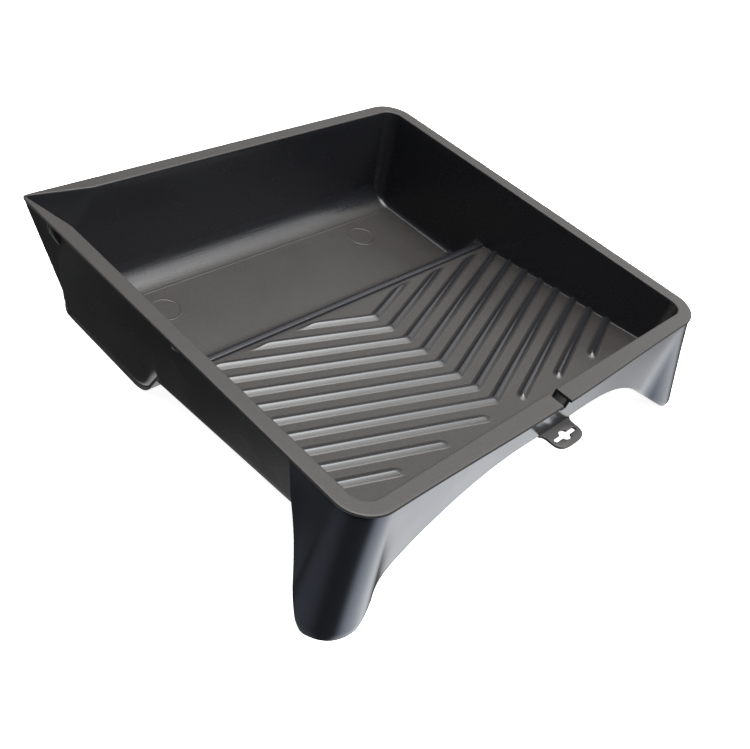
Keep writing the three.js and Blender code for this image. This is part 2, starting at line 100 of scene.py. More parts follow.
def skin(bm, rows, closed_rows=False, closed_loop=False):
    """Faces between rows of points; every row has the same number of points."""
    made = [[bm.verts.new(p) for p in row] for row in rows]
    count = len(made)
    for i in range(count if closed_loop else count - 1):
        a, b = made[i], made[(i + 1) % count]
        n = len(a)
        for j in range(n if closed_rows else n - 1):
            k = (j + 1) % n
            bm.faces.new([a[j], a[k], b[k], b[j]])
    return made


# ------------------------------------------------------------------ profiles of the bottom
def ramp_z(y):
    """Height of the ramp's face between its ribs."""
    return RAMP_LEVEL - RAMP_SLOPE * y


def bottom_z(y, grow):
    """Height of the bottom at y: the inner face for grow 0, the underside for grow WALL."""
    floor = WALL - grow
    cove = COVE_R + grow
    step = STEP_R + grow
    if y > COVE_Y:
        run = y - COVE_Y
        end = cove * math.cos(math.atan(BACK_SLOPE))
        if run < end:
            return floor + cove - math.sqrt(cove * cove - run * run)
        return floor + cove - math.sqrt(cove * cove - end * end) + (run - end) / BACK_SLOPE
    if y >= STEP_Y:
        return floor
    run = STEP_Y - y
    end = step * math.cos(STEP_LEAN)
    if run < end:
        z = floor + step - math.sqrt(step * step - run * run)
    else:
        z = floor + step - math.sqrt(step * step - end * end) + (run - end) / math.tan(STEP_LEAN)
    return min(z, ramp_z(y) - grow)


def bottom_tilt(y, grow):
    """Cosine of the bottom's slope at y."""
    rise = (bottom_z(y + 0.05, grow) - bottom_z(y - 0.05, grow)) / 0.1
    return 1 / math.sqrt(1 + rise * rise)


def wall_point(px, py, z):
    """Where the rim's inner outline point lands at height z, once the walls have drawn in."""
    depth = HEIGHT - z
    share = (py + INNER_Y) / (2 * INNER_Y)
    x = px * (1 - SIDE_DRAFT * depth / INNER_X)
    y = py - depth * (BACK_SLOPE * share - FRONT_DRAFT * (1 - share))
    return x, y


def bow(x):
    """How far the rim's front edge bulges out at x."""
    return FRONT_BOW * (1 + math.cos(math.pi * x / CORNER_X)) / 2 if abs(x) < CORNER_X else 0.0


# ------------------------------------------------------------------ the walls and the rim
def spaced(a, b, step):
    """Even steps of about this size from a up to b, without b itself."""
    n = max(1, round(abs(b - a) / step))
    return [a + (b - a) * i / n for i in range(n)]


def side_ys():
    """Stations along a side wall, close together beside the step and the spout."""
    cy = INNER_Y - INNER_R
    return spaced(-cy, 12, 5) + spaced(12, 52, 1.25) + spaced(52, 104, 5) + spaced(104, cy, 1.6)


def outline():
    """Stations round the inner rim edge: x, y, normal angle, and whether it lies in the notch."""
    cx, cy = INNER_X - INNER_R, INNER_Y - INNER_R
    out = []

    def arc(mx, my, start):
        for i in range(16):
            a = math.radians(start + 90 * i / 16)
            out.append((mx + INNER_R * math.cos(a), my + INNER_R * math.sin(a), a, False))

    down = math.radians(-90)
    half = spaced(-cx, -NOTCH, 4.5) + [-NOTCH]
    out += [(x, -INNER_Y, down, False) for x in half]
    out += [(x, -INNER_Y, down, True) for x in (-NOTCH, -NOTCH / 2, 0.0, NOTCH / 2, NOTCH)]
    out += [(-x, -INNER_Y, down, False) for x in reversed(half[1:])]
    arc(cx, -cy, -90)
    out += [(INNER_X, y, 0.0, False) for y in side_ys()]
    arc(cx, cy, 0)
    xs = spaced(cx, SPOUT_BACK_X + 6, 5) + spaced(SPOUT_BACK_X + 6, -cx, 1.6)
    out += [(x, INNER_Y, math.radians(90), False) for x in xs]
    arc(-cx, cy, 90)
    ys = side_ys()[1:] + [cy]
    out += [(-INNER_X, y, math.radians(180), False) for y in reversed(ys)]
    arc(-cx, -cy, 180)
    return out


def spout_share(x, y):
    """0 at the spout's start on the left side, 0.5 at its corner, 1 at its end on the back."""
    cx, cy = INNER_X - INNER_R, INNER_Y - INNER_R
    if x > SPOUT_BACK_X or y < SPOUT_LEFT_Y or x > 0:
        return None
    quarter = INNER_R * math.pi / 4
    if y < cy:
        along = y - SPOUT_LEFT_Y
        return 0.5 * along / (cy - SPOUT_LEFT_Y + quarter)
    if x > -cx:
        along = SPOUT_BACK_X - x
        return 1 - 0.5 * along / (SPOUT_BACK_X + cx + quarter)
    turn = math.atan2(y - cy, x + cx)
    off = (math.radians(135) - turn) * INNER_R
    if off < 0:
        return 0.5 + 0.5 * off / (cy - SPOUT_LEFT_Y + quarter)
    return 0.5 + 0.5 * off / (SPOUT_BACK_X + cx + quarter)


def plane_through(a, b, c):
    """The plane through three points, as its normal and one point."""
    normal = (Vector(b) - Vector(a)).cross(Vector(c) - Vector(a)).normalized()
    return normal, Vector(a)


def spout_planes():
    """The spout's left and back faces, which meet in a fold from its tip down into the corner."""
    tip = (*SPOUT_TIP, HEIGHT)
    z = HEIGHT - SPOUT_DEPTH
    cx, cy = INNER_X - INNER_R, INNER_Y - INNER_R
    root = INNER_R * math.sqrt(0.5)
    foot = (*wall_point(-cx - root, cy + root, z), z)
    left = plane_through((-INNER_X, SPOUT_LEFT_Y, HEIGHT), tip, foot)
    back = plane_through((SPOUT_BACK_X, INNER_Y, HEIGHT), tip, foot)
    return left, back


SPOUT_PLANES = spout_planes()


def soft_floor(t, k):
    """t where it is well above zero, zero where it is well below, with a rounded bend between."""
    if t > k:
        return t
    if t < -k:
        return 0.0
    return (t + k) ** 2 / (4 * k)


def soft_min(a, b, k):
    """The smaller of a and b, rounded off where they are nearly the same."""
    h = max(k - abs(a - b), 0.0) / k
    return min(a, b) - h * h * k / 4


class Station:
    """One upright section through the wall and the rim."""

    def __init__(self, px, py, angle, notch):
        self.px, self.py, self.notch = px, py, notch
        self.nx, self.ny = math.cos(angle), math.sin(angle)
        self.share = spout_share(px, py)
        fan = angle if self.share is None else math.radians(180 - 90 * self.share)
        self.dx, self.dy = math.cos(fan), math.sin(fan)
        self.slant = 1 / max(self.dx * self.nx + self.dy * self.ny, 0.3)

    def spout_reach(self, z):
        """How far the spout's face stands outside the plain wall at height z."""
        if self.share is None:
            return 0.0
        bx, by = wall_point(self.px, self.py, z)
        normal, origin = SPOUT_PLANES[0 if self.share < 0.5 else 1]
        facing = normal.x * self.dx + normal.y * self.dy
        away = normal.dot(origin - Vector((bx, by, z)))
        return soft_floor(away / facing, 0.35)

    def edge(self):
        """Distance from the inner outline to the outer edge of the rim."""
        if self.share is None:
            return RIM_BAND + (bow(self.px) if self.ny < -0.99 else 0.0)
        to_side = (self.px + RIM_X) / max(-self.dx, 1e-6)
        to_back = (RIM_Y - self.py) / max(self.dy, 1e-6)
        return soft_min(to_side, to_back, SPOUT_TIP_R)

    def at(self, reach, z):
        """The point this far out from the drawn-in wall face at height z."""
        bx, by = wall_point(self.px, self.py, z)
        return (bx + self.dx * reach, by + self.dy * reach, z)

    def radius(self, grow):
        """Rounding between this wall and the bottom."""
        side = abs(self.nx)
        if self.ny < -0.5:
            return 1.5 + grow / 2
        well = smooth(20, 26, self.py)
        ramp = 1.2 if grow == 0 else 0.5
        return (ramp * (1 - well) + (4.0 + grow) * well) * max(side, 0.1) ** 2 + 0.3

    def foot(self, grow):
        """Points down the rounded bottom edge of the wall, from the wall to the bottom sheet."""
        thick = grow * self.slant
        if self.ny > 0.9:
            cove = COVE_R + grow
            run = cove * math.cos(math.atan(BACK_SLOPE)) - (INNER_R + grow) * (1 - self.ny)
            z = WALL - grow + cove - math.sqrt(cove * cove - run * run) - 0.3
            return [self.at(thick, z) for _ in range(7)]
        r = self.radius(grow)
        points = []
        for i in range(7):
            turn = math.radians(90 - 15 * i)
            inset = r * (1 - math.sin(turn))
            lift = r * (1 - math.cos(turn))
            low, high = -6.0, HEIGHT - 4
            for _ in range(34):
                z = (low + high) / 2
                _, y, _ = self.at(thick - inset, z)
                if (z - bottom_z(y, grow)) * bottom_tilt(y, grow) > lift:
                    high = z
                else:
                    low = z
            points.append(self.at(thick - inset, z))
        return points

    def crown(self, reach, edge, outer_top):
        """Points over the rim, from its inner edge round to where it meets the wall's outside."""
        top = HEIGHT
        room = max(edge - reach, 0.6)
        ri = min(RIM_EDGE_IN, room * 0.45)
        ro = min(RIM_EDGE_OUT, room * 0.45)
        points = []
        for i in range(1, 6):
            a = math.radians(18 * i)
            points.append((reach + ri * (1 - math.cos(a)), top - ri * (1 - math.sin(a))))
        points.append((reach + ri + (room - ri - ro) * 0.12, top))
        points.append((reach + ri + (room - ri - ro) * 0.88, top))
        for i in range(5):
            a = math.radians(90 - 22.5 * i)
            points.append((edge - ro * (1 - math.cos(a)), top - ro * (1 - math.sin(a))))
        under = top - RIM_THICK
        points.append((edge, under + 0.2))
        points.append((edge - 0.2, under))
        points.append((max(edge - 1.0, outer_top + 0.1), under))
        points.append((min(outer_top + 1.0, edge - 0.3), under))
        points.append((outer_top + 0.2, under - 0.3))
        return [self.rim_at(reach_out, z) for reach_out, z in points]

    def outer_face(self, foot_z, edge, ceiling):
        """Points down the wall's outside, from under the rim to the foot."""
        start = HEIGHT - RIM_THICK - 1.2
        points = []
        for i in range(13):
            z = min(start + (foot_z - start) * i / 12, ceiling)
            spout = self.spout_reach(z)
            out = WALL * self.slant
            if spout > 0:
                out = max(out, min(spout + 1.7, edge - 0.4))
            points.append(self.at(out, z))
        return points

    def section(self):
        """The whole loop: up the inside, over the rim and down the outside."""
        edge = self.edge()
        reach = self.spout_reach(HEIGHT)
        outer_top = min(max(WALL * self.slant, reach + 1.6), edge - 0.5)
        inner_foot = self.foot(0.0)
        outer_foot = self.foot(WALL)
        ceiling = NOTCH_Z if self.notch else HEIGHT
        points = list(reversed(inner_foot))
        low = inner_foot[0][2]
        for i in range(1, 13):
            z = min(low + (HEIGHT - 1.2 - low) * i / 12, ceiling)
            points.append(self.at(self.spout_reach(z), z))
        if self.notch:
            points += [self.at(WALL * i / 18, NOTCH_Z) for i in range(1, 18)]
        else:
            points += self.crown(reach, edge, outer_top)
        return points + self.outer_face(outer_foot[0][2], edge, ceiling) + outer_foot[1:]

    def rim_at(self, reach, z):
        """The point this far out from the inner rim edge, at any height."""
        return (self.px + self.dx * reach, self.py + self.dy * reach, z)


def make_walls():
    bm = bmesh.new()
    stations = [Station(*s) for s in outline()]
    first = next(i for i, s in enumerate(stations) if s.notch)
    last = max(i for i, s in enumerate(stations) if s.notch)
    rows = [s.section() for s in stations]
    skin(bm, rows[first:last + 1], closed_rows=True)
    skin(bm, rows[last + 1:] + rows[:first], closed_rows=True)
    for i in (first - 1, last + 1):
        above = [p for p in rows[i] if p[2] > NOTCH_Z]
        ends = [stations[i].at(reach, NOTCH_Z) for reach in (0, WALL)]
        bm.faces.new([bm.verts.new(p) for p in [ends[0], *above, ends[1]]])
    bmesh.ops.remove_doubles(bm, verts=bm.verts, dist=1e-4)
    return finish_mesh("walls_and_rim", bm)


# ------------------------------------------------------------------ the bottom of the well
def inner_reach(y, z, grow):
    """How far out the wall's face is at this y and z, with its rounded upright corner."""
    x, _ = wall_point(INNER_X, y, z)
    cx, cy = wall_point(INNER_X - INNER_R, INNER_Y - INNER_R, z)
    r = INNER_R + grow
    if y <= cy:
        return x + grow
    beyond = min(y - cy, r)
    return cx + math.sqrt(max(r * r - beyond * beyond, 0.0))


def ridge_profile(y0, z0):
    """From the step's straight face at y0, z0 over the bead and down its back to the ramp."""
    y1 = RIDGE_Y + RIDGE_R * math.cos(STEP_LEAN)
    z1 = RIDGE_TOP - RIDGE_R * (1 - math.sin(STEP_LEAN))
    points = [(y0 + (y1 - y0) * i / 6, z0 + (z1 - z0) * i / 6) for i in range(1, 6)]
    for i in range(10):
        a = STEP_LEAN + (math.pi / 2 - STEP_LEAN) * i / 9
        points.append((RIDGE_Y + RIDGE_R * math.cos(a), RIDGE_TOP - RIDGE_R * (1 - math.sin(a))))
    back = [(-0.5, -0.02), (-0.85, -0.12), (-1.15, -0.34), (-1.35, -0.68), (-1.48, -1.1), (-1.6, -1.6)]
    points += [(RIDGE_Y + dy, RIDGE_TOP + dz) for dy, dz in back]
    foot_y = RIDGE_Y - 1.8
    return points + [(foot_y, ramp_z(foot_y) + 0.12), (RAMP_BACK_Y, ramp_z(RAMP_BACK_Y))]


def under_ridge_profile(y0, z0, grow):
    """From the step's straight underside at y0, z0 to the underside of the ramp."""
    lean = math.tan(STEP_LEAN)
    rise = (ramp_z(y0) - grow - z0) / (1 - RAMP_SLOPE * lean)
    y1 = y0 - rise * lean
    points = [(y0 + (y1 - y0) * i / 15, z0 + (ramp_z(y1) - grow - z0) * i / 15) for i in range(1, 16)]
    for i in range(1, 9):
        y = y1 + (RAMP_BACK_Y - y1) * i / 8
        points.append((y, ramp_z(y) - grow))
    return points


def well_profile(grow):
    """The bottom's face from the back cove to the ramp: inner for grow 0, under for grow WALL."""
    floor = WALL - grow
    cove, step = COVE_R + grow, STEP_R + grow
    points = []
    end = math.pi / 2 - math.atan(BACK_SLOPE)
    for i in range(19):
        a = end * (1 - i / 18)
        points.append((COVE_Y + cove * math.sin(a), floor + cove * (1 - math.cos(a))))
    for i in range(1, 13):
        points.append((COVE_Y + (STEP_Y - COVE_Y) * i / 12, floor))
    turn = math.pi / 2 - STEP_LEAN
    for i in range(1, 13):
        a = turn * i / 12
        points.append((STEP_Y - step * math.sin(a), floor + step * (1 - math.cos(a))))
    if grow == 0:
        return points + ridge_profile(*points[-1])
    return points + under_ridge_profile(*points[-1], grow)


def make_well():
    bm = bmesh.new()
    columns = 46
    sheets = []
    for grow in (0.0, WALL):
        rows = []
        for y, z in well_profile(grow):
            half = inner_reach(min(y, INNER_Y), z, min(grow, 1.0)) + 0.7
            rows.append([(half * (2 * i / columns - 1), y, z) for i in range(columns + 1)])
        sheets.append(skin(bm, rows))
    top, under = sheets
    edges = [(top[0], under[0]), (top[-1], under[-1])]
    edges += [([row[i] for row in top], [row[i] for row in under]) for i in (0, -1)]
    for a, b in edges:
        for i in range(len(a) - 1):
            bm.faces.new([a[i], a[i + 1], b[i + 1], b[i]])
    return finish_mesh("well_bottom", bm)


# ------------------------------------------------------------------ the ribbed ramp
RIB_AXIS, RIB_RAKE, RIB_PITCH, RIB_FIRST_Y = 6.3, 0.385, 14.83, -2.5
RIB_HEIGHT, RIB_COUNT, SHORT_COUNT = 2.3, 8, 3
SHORT_CENTRE, SHORT_STEP = 19.3, 38.2
RIB_HALF_BASE, RIB_CREST, RIB_FOOT = 4.2, 1.0, 0.12
RIB_FADE_START_Y, RIB_FADE_END_Y = 12.4, 15.6
RAMP_HALF, RAMP_UNDER_HALF = 148.2, 147.2


def rib_shift(x):
    """How far back the ribs have run at x, with a slight rounding at the point of the V."""
    return RIB_RAKE * (math.hypot(x - RIB_AXIS, 1.0) - 1.0)


def rib_height(x, line):
    """Height above the ramp at x, on the line that meets the rib axis at y = line."""
    index = round((RIB_FIRST_Y - line) / RIB_PITCH)
    if index < 0 or index >= RIB_COUNT + SHORT_COUNT:
        return 0.0
    off = abs(line - (RIB_FIRST_Y - RIB_PITCH * index))
    if index >= RIB_COUNT:
        short = SHORT_CENTRE + SHORT_STEP * (index - RIB_COUNT) - abs(x - RIB_AXIS)
        if short > 0:
            off = math.hypot(off, short)
    rise = (RIB_HALF_BASE - math.hypot(off, RIB_CREST)) / (RIB_HALF_BASE - RIB_CREST)
    fade = 1 - smooth(RIB_FADE_START_Y, RIB_FADE_END_Y, line + rib_shift(x))
    return RIB_HEIGHT * soft_floor(rise, RIB_FOOT) * fade


def ramp_lines():
    """Lines of the ramp's mesh along the ribs, close together where a rib bends."""
    steps = (5.9, 5.1, 4.6, 4.3, 4.0, 3.7, 3.3, 2.7, 2.0, 1.5, 1.1, 0.7, 0.35)
    across = [-RIB_PITCH / 2, *(-t for t in steps), 0, *reversed(steps)]
    lines = []
    for index in range(-2, 14):
        lines += [RIB_FIRST_Y - RIB_PITCH * index - t for t in across]
    return lines


def make_ramp():
    bm = bmesh.new()
    lines = ramp_lines()
    for drop, half in ((0.0, RAMP_HALF), (WALL, RAMP_UNDER_HALF)):
        columns = [half * (i / 114 - 1) for i in range(229)]
        grid = {}
        for i, line in enumerate(lines):
            for j, x in enumerate(columns):
                y = line + rib_shift(x)
                if -146 < y < 26:
                    rib = rib_height(x, line)
                    if drop:
                        rib *= 1 - smooth(138, 144, abs(x))
                    grid[i, j] = bm.verts.new((x, y, ramp_z(y) + rib - drop))
        for i, j in grid:
            corners = [(i, j), (i + 1, j), (i + 1, j + 1), (i, j + 1)]
            if all(c in grid for c in corners):
                bm.faces.new([grid[c] for c in corners])
    for y, way in ((RAMP_BACK_Y, 1), (RAMP_FRONT_Y, -1)):
        geom = bm.verts[:] + bm.edges[:] + bm.faces[:]
        bmesh.ops.bisect_plane(
            bm, geom=geom, plane_co=(0, y, 0), plane_no=(0, way, 0), clear_outer=True
        )
    ramp = finish_mesh("ramp", bm, angle=50)
    mark_ribs(ramp)
    return ramp


def mark_ribs(ramp):
    """Notes on each vertex how high up a rib it lies, for the material."""
    mark = ramp.data.attributes.new("rib", "FLOAT", "POINT")
    for item, v in zip(mark.data, ramp.data.vertices, strict=True):
        y = v.co.y * 1000 - CENTRE_SHIFT_Y
        item.value = min(max((v.co.z * 1000 - ramp_z(y)) / RIB_HEIGHT, 0.0), 1.0)


# ------------------------------------------------------------------ the skirt and the two legs
SKIRT_RECESS = 1.2
SKIRT_R = RIM_CORNER_R - SKIRT_RECESS
FLARE, FLARE_PEAK = 0.28, math.radians(32)
FLARE_FRONT, FLARE_SIDE = 18.5, 32.0
SKIRT_BACK_Y = -97.0
ARCH_TOP, ARCH_HALF = 57.2, 28.0


def lean_out(x, y):
    """How far the skirt leans out for each millimetre of drop, at a plan point on its top edge."""
    beyond_x, beyond_y = abs(x) - CORNER_X, -CORNER_Y - y
    turn = min(max(math.atan2(beyond_y, beyond_x), 0.0), math.pi / 2)
    side = beyond_y if beyond_x > 0 and beyond_y < 0 else 0.0
    front = -beyond_x if beyond_x < 0 else 0.0
    along = SKIRT_R * (turn - FLARE_PEAK) + side + front
    spread = FLARE_SIDE if along < 0 else FLARE_FRONT
    lean = FLARE * math.exp(-((along / spread) ** 2))
    return math.copysign(math.cos(turn), x) * lean, -math.sin(turn) * lean


def bezier(p0, p1, p2, p3, t):
    s = 1 - t
    return tuple(
        s**3 * a + 3 * s * s * t * b + 3 * s * t * t * c + t**3 * d
        for a, b, c, d in zip(p0, p1, p2, p3, strict=True)
    )


# the arch between the feet as (x, height), and the back edge of a leg as (y, height)
ARCH = [bezier((ARCH_HALF, ARCH_TOP), (62, 57.0), (85, 44.5), (106, 31.5), i / 24) for i in range(24)]
ARCH += [bezier((106, 31.5), (113, 27), (134, 10.5), (153, 0), i / 24) for i in range(25)]
LEG_TOP = (SKIRT_BACK_Y, HEIGHT - 3)
LEG_BACK = [bezier(LEG_TOP, (-101, 62), (-103, 56), (-106, 51.5), i / 16) for i in range(16)]
LEG_BACK += [bezier((-106, 51.5), (-112, 42), (-125, 25), (-137, 7.5), i / 24) for i in range(25)]
LEG_BACK += [bezier((-137, 7.5), (-138.6, 4.8), (-141, 2.2), (-147, -1), i / 10) for i in range(1, 11)]


def follow(points, value):
    """The second coordinate of a polyline at this value of the first one."""
    for (a, za), (b, zb) in zip(points, points[1:], strict=False):
        if min(a, b) <= value <= max(a, b) and a != b:
            return za + (zb - za) * (value - a) / (b - a)
    return None


def skirt_cut(x, y, z):
    """True where the arch or the back edge of a leg has cut the skirt away."""
    if y < -141.5:
        level = ARCH_TOP if abs(x) < ARCH_HALF else follow(ARCH, abs(x))
        if level is not None and z < level:
            return True
    if abs(x) > 154:
        if y > SKIRT_BACK_Y:
            return True
        level = follow(LEG_BACK, y)
        if level is not None and z < level:
            return True
    return False


def skirt_stations():
    """Plan points on the left half of the skirt's top edge, from its back end to the middle."""
    out = []
    for y in spaced(SKIRT_BACK_Y, -CORNER_Y, 1.4):
        out.append((-CORNER_X - SKIRT_R, y, -1.0, 0.0))
    for i in range(26):
        a = math.pi / 2 * i / 26
        nx, ny = -math.cos(a), -math.sin(a)
        out.append((-CORNER_X + SKIRT_R * nx, -CORNER_Y + SKIRT_R * ny, nx, ny))
    xs = spaced(-CORNER_X, -100, 1.6) + spaced(-100, -28, 3) + spaced(-28, -NOTCH, 4)
    for x in (*xs, -NOTCH, -NOTCH_FOOT):
        out.append((x, -RIM_Y + SKIRT_RECESS - bow(x), 0.0, -1.0))
    return out


def cut_height(at, top):
    """Height at which the skirt's section at() is first cut away below top, or the ground."""
    steps = 400
    for i in range(1, steps):
        z = top - top * i / steps
        if skirt_cut(*at(0, z)):
            high, low = top - top * (i - 1) / steps, z
            for _ in range(20):
                mid = (low + high) / 2
                low, high = (mid, high) if skirt_cut(*at(0, mid)) else (low, mid)
            return high
    return 0.0


def skirt_section(x, y, nx, ny):
    """Loop of points down the skirt's outside, under its lower edge and up its inside."""
    lx, ly = lean_out(x, y)

    def at(inset, z):
        drop = HEIGHT - z
        return (x - nx * inset + lx * drop, y - ny * inset + ly * drop, z)

    top = NOTCH_Z if abs(x) < NOTCH else HEIGHT - RIM_THICK + 0.2
    low = min(cut_height(at, top), top - 0.8)
    count = 22
    points = [at(0.0, top + (low + 0.5 - top) * i / count) for i in range(count + 1)]
    points += [at(0.15, low + 0.14), at(0.5, low), at(WALL - 0.5, low), at(WALL - 0.15, low + 0.14)]
    points += [at(WALL, low + 0.5 + (top - low - 0.5) * i / count) for i in range(count + 1)]
    return points


def make_skirt():
    bm = bmesh.new()
    half = [skirt_section(*s) for s in skirt_stations()]
    mirror = [[(-x, y, z) for x, y, z in row] for row in reversed(half)]
    rows = half + mirror
    made = skin(bm, rows, closed_rows=True)
    for row in (made[0], made[-1]):
        bm.faces.new(row)
    bmesh.ops.remove_doubles(bm, verts=bm.verts, dist=1e-4)
    return finish_mesh("skirt_and_legs", bm, angle=40)


# ------------------------------------------------------------------ the hanging tab
TAB_Z, TAB_THICK, TAB_TIP, TAB_HALF = 57.1, 1.8, -166.5, 12.6
TAB_EDGE, TAB_ROUND_Y = 0.35, -158.5
HOLE_Y, HOLE_R, SLOT_HALF, SLOT_R = -159.0, 3.7, 10.0, 1.3


def tab_outline():
    """The tab in plan: flared where it leaves the skirt, with a rounded end."""
    points = [(-TAB_HALF - 2.4, -149.8), (-TAB_HALF - 2.2, -151.4), (-TAB_HALF - 1.2, -152.2)]
    points += [(-TAB_HALF - 0.4, -153.4), (-TAB_HALF, -155.2)]
    for i in range(25):
        a = math.pi + math.pi * i / 24
        wide = math.copysign(abs(math.cos(a)) ** 0.6, math.cos(a))
        deep = -(abs(math.sin(a)) ** 0.75)
        points.append((wide * TAB_HALF, TAB_ROUND_Y + deep * (TAB_ROUND_Y - TAB_TIP)))
    points += [(-x, y) for x, y in reversed(points[:5])]
    return points


def tab_hole():
    """A round hole in the middle of a slot."""
    bite = math.asin(SLOT_R / HOLE_R)
    points = []
    for i in range(13):
        a = math.pi + bite + (math.pi - 2 * bite) * i / 12
        points.append((HOLE_R * math.cos(a), HOLE_Y + HOLE_R * math.sin(a)))
    for i in range(9):
        a = -math.pi / 2 + math.pi * i / 8
        points.append((SLOT_HALF - SLOT_R + SLOT_R * math.cos(a), HOLE_Y + SLOT_R * math.sin(a)))
    points += [(-x, 2 * HOLE_Y - y) for x, y in points]
    return list(reversed(points))


def make_tab():
    curve = bpy.data.curves.new("hang_tab_outline", "CURVE")
    curve.dimensions = "2D"
    curve.fill_mode = "BOTH"
    curve.extrude = TAB_THICK / 2 - TAB_EDGE
    curve.bevel_depth = TAB_EDGE
    curve.bevel_resolution = 2
    for points in (tab_outline(), tab_hole()):
        spline = curve.splines.new("POLY")
        spline.points.add(len(points) - 1)
        for item, (x, y) in zip(spline.points, points, strict=True):
            item.co = (x, y, 0, 1)
        spline.use_cyclic_u = True
    curve.offset = -TAB_EDGE
    holder = bpy.data.objects.new("hang_tab_outline", curve)
    bpy.context.scene.collection.objects.link(holder)
    bpy.context.view_layer.update()
    mesh = bpy.data.meshes.new_from_object(holder)
    bpy.data.objects.remove(holder)
    bpy.data.curves.remove(curve)
    bm = bmesh.new()
    bm.from_mesh(mesh)
    bpy.data.meshes.remove(mesh)
    bmesh.ops.remove_doubles(bm, verts=bm.verts, dist=1e-4)
    bmesh.ops.translate(bm, verts=bm.verts, vec=(0, 0, TAB_Z - TAB_THICK / 2))
    return finish_mesh("hang_tab_plate", bm, angle=40)


# ------------------------------------------------------------------ gussets under the rim
def spout_face_x(y, z):
    """Distance of the spout's left face from the middle of the tray at this y and z."""
    normal, origin = SPOUT_PLANES[0]
    return -(origin.x - (normal.y * (y - origin.y) + normal.z * (z - origin.z)) / normal.x)


def make_gussets():
    bm = bmesh.new()
    top = HEIGHT - RIM_THICK + 0.3
    for side in (-1, 1):
        for y, drop in ((122.5, 20.0), (0.0, 12.0)):
            foot = HEIGHT - drop
            wall_top, _ = wall_point(INNER_X, y, top)
            wall_foot, _ = wall_point(INNER_X, y, foot)
            if side < 0 and y > SPOUT_LEFT_Y:
                wall_top, wall_foot = (spout_face_x(y, z) for z in (top, foot))
            outline_xz = [(wall_top + 1.5, top), (wall_foot + 1.5, foot), (wall_foot + 3.4, foot + 0.3)]
            outline_xz += [(158.6, top - drop * 0.35), (158.9, top - drop * 0.3), (158.9, top)]
            rows = [[(side * x, y + dy, z) for x, z in outline_xz] for dy in (-1.0, 1.0)]
            front, back = skin(bm, rows, closed_rows=True)
            bm.faces.new(front)
            bm.faces.new(back)
    bmesh.ops.bevel(
        bm, geom=bm.edges[:], offset=0.3, segments=2, affect="EDGES", profile=0.5, clamp_overlap=True
    )
    return finish_mesh("rim_gussets", bm)


